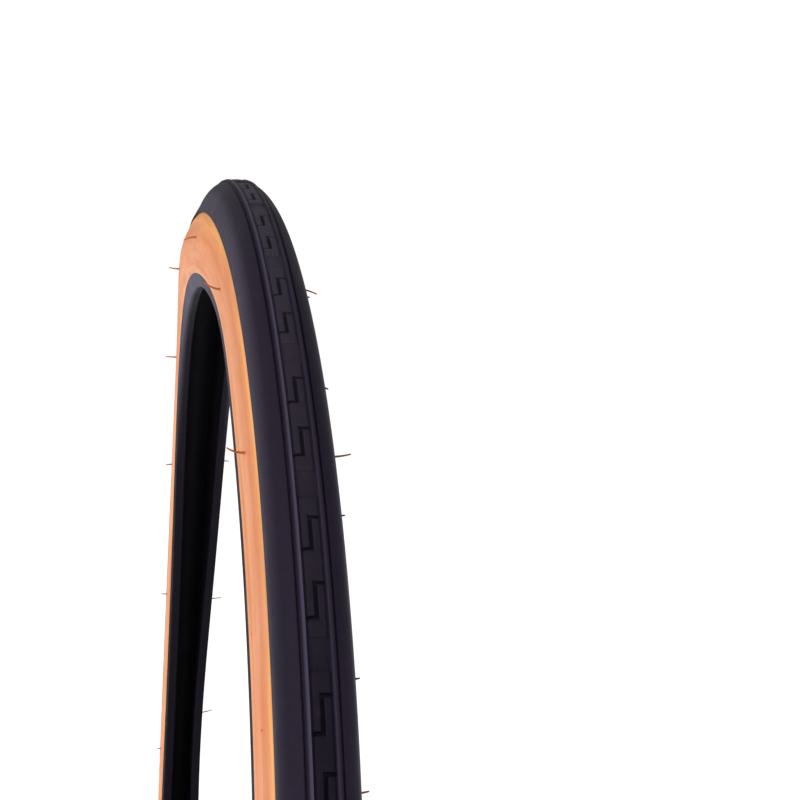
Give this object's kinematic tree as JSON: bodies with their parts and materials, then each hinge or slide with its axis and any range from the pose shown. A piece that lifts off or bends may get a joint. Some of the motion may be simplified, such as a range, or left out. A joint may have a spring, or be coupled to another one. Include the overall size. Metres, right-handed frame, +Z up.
{
  "type": "bicycle tire",
  "caption": "Wire-bead clincher bicycle tire, off its rim, with a black two-rib tread cut with S grooves and sunk blocks, tan gum sidewalls and moulding hairs.",
  "frame": {"origin": "the wheel's centre, on the wheel axis, half way between the two beads", "axes": "+Y along the wheel axis towards the left sidewall, +Z up, +X across the wheel"},
  "size_m": [0.6531, 0.0506, 0.653],
  "materials": {
    "tread_rubber": "satin black rubber",
    "gum_rubber": "satin tan gum rubber",
    "gum_hair": "thin tan rubber hairs",
    "casing_inside": "black rubber-coated cord fabric",
    "casing_cord": "rubber-coated nylon cord",
    "chafer_weave": "black woven strip in rubber",
    "filler_rubber": "hard black rubber",
    "bead_steel": "drawn steel wire",
    "sleeve_brass": "crimped sleeve"
  },
  "bodies": {
    "root": {"tread_cap": "tread_rubber", "breaker_strip": "casing_cord", "outer_ply": "casing_cord", "inner_ply": "casing_inside", "sidewall_left": "gum_rubber", "sidewall_right": "gum_rubber", "chafer_left": "chafer_weave", "chafer_right": "chafer_weave", "bead_filler_left": "filler_rubber", "bead_filler_right": "filler_rubber", "bead_wire_left": "bead_steel", "bead_wire_right": "bead_steel", "wire_sleeve_left": "sleeve_brass", "wire_sleeve_right": "sleeve_brass", "wall_hairs_left": "gum_hair", "wall_hairs_right": "gum_hair", "tread_stubs": "tread_rubber"}
  },
  "joints": []
}
